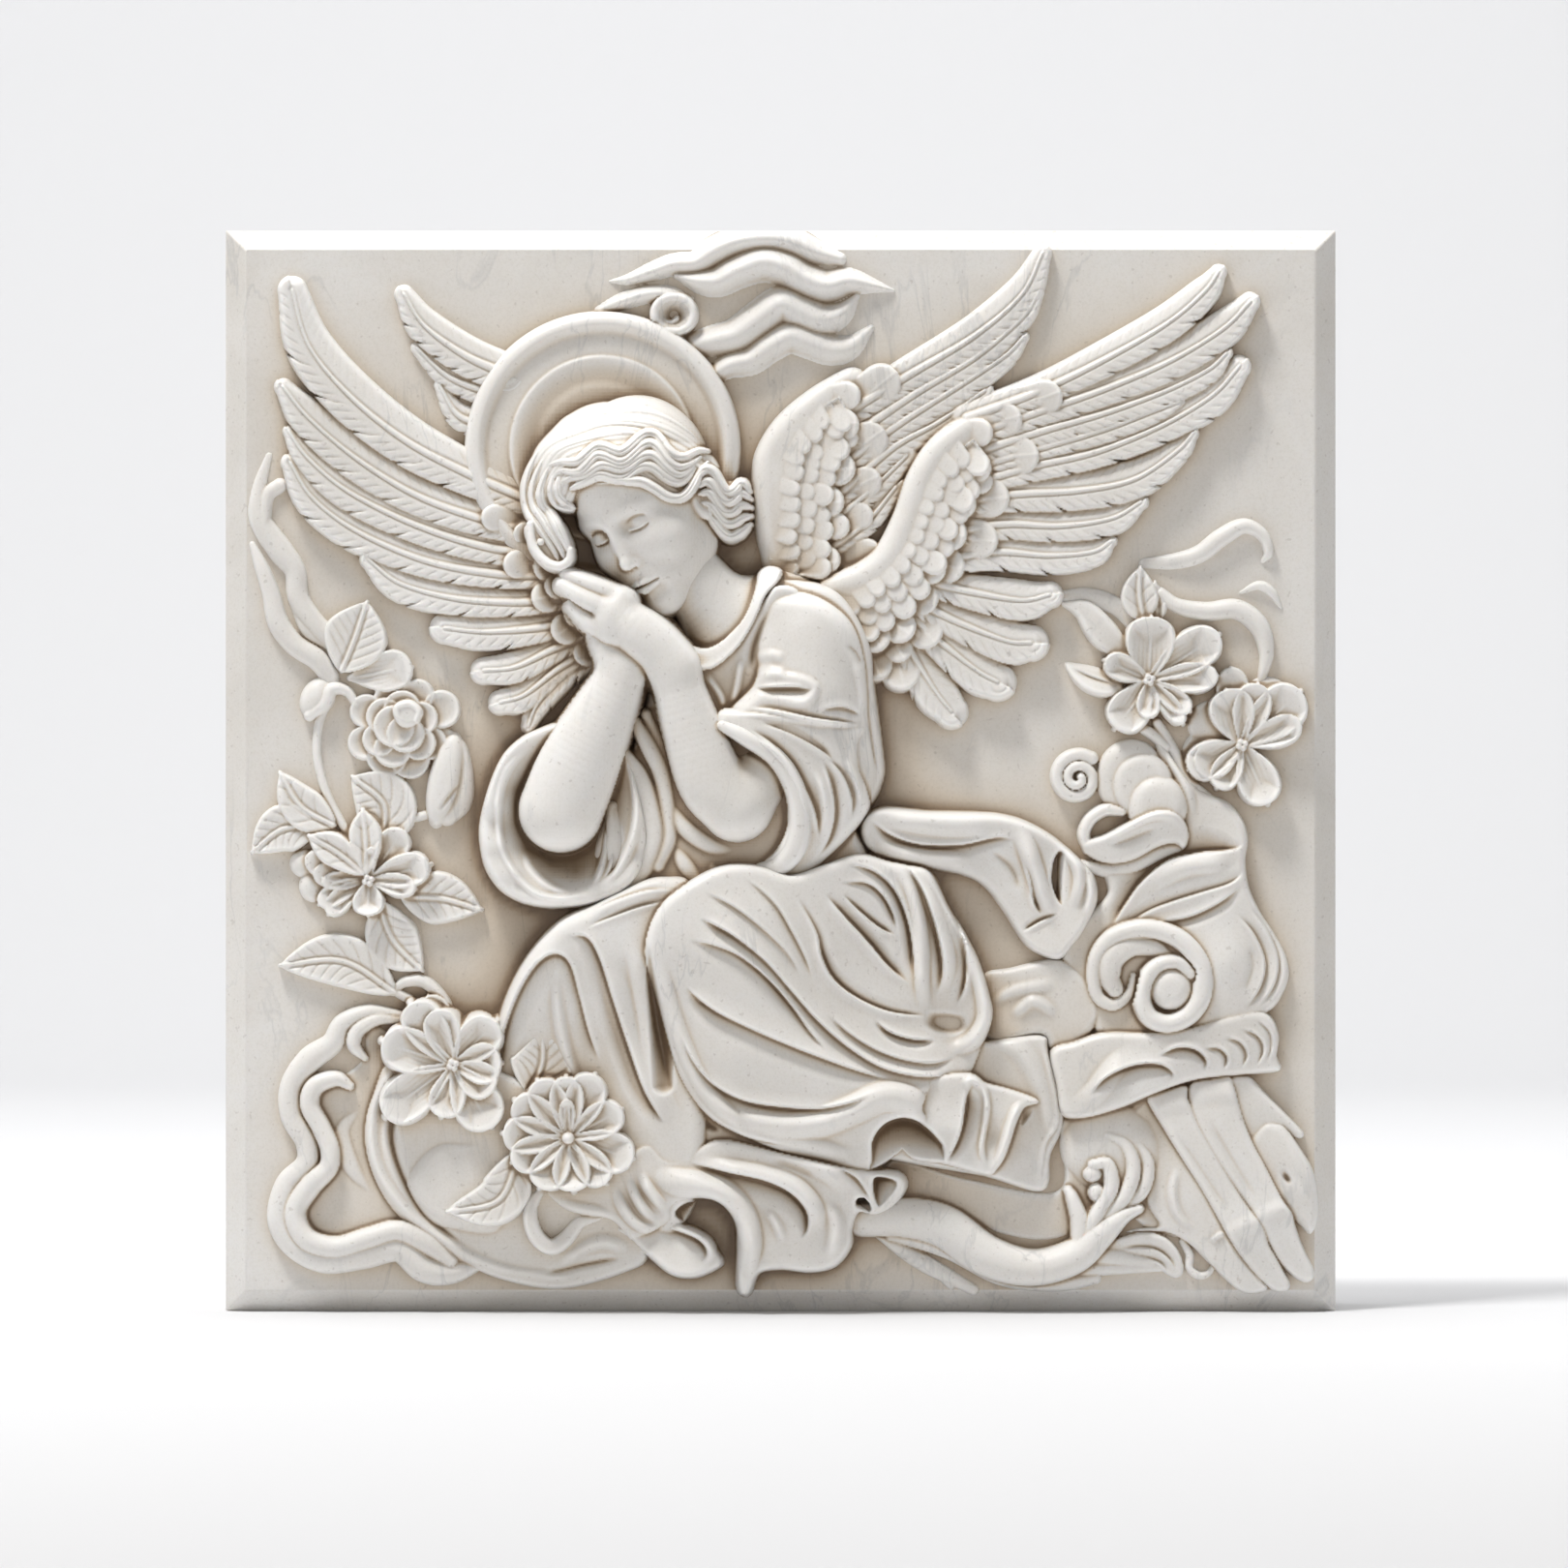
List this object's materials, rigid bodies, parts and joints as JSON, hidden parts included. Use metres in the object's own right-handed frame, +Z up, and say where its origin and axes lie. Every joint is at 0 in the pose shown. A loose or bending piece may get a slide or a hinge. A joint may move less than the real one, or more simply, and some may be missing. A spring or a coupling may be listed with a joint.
{
  "type": "angel headstone",
  "caption": "Upright square headstone of white marble, its front carved in high relief with a seated angel, wings, halo and flowers.",
  "frame": {"origin": "centre of the flat underside, on the plane the stone stands on", "axes": "+Z up, the carved front faces -Y, +X to the right as seen from the front"},
  "size_m": [0.6, 0.14, 0.584],
  "materials": {
    "marble": "honed white marble, softly polished on the high parts"
  },
  "bodies": {
    "root": {"angel_headstone": "marble"}
  },
  "joints": []
}
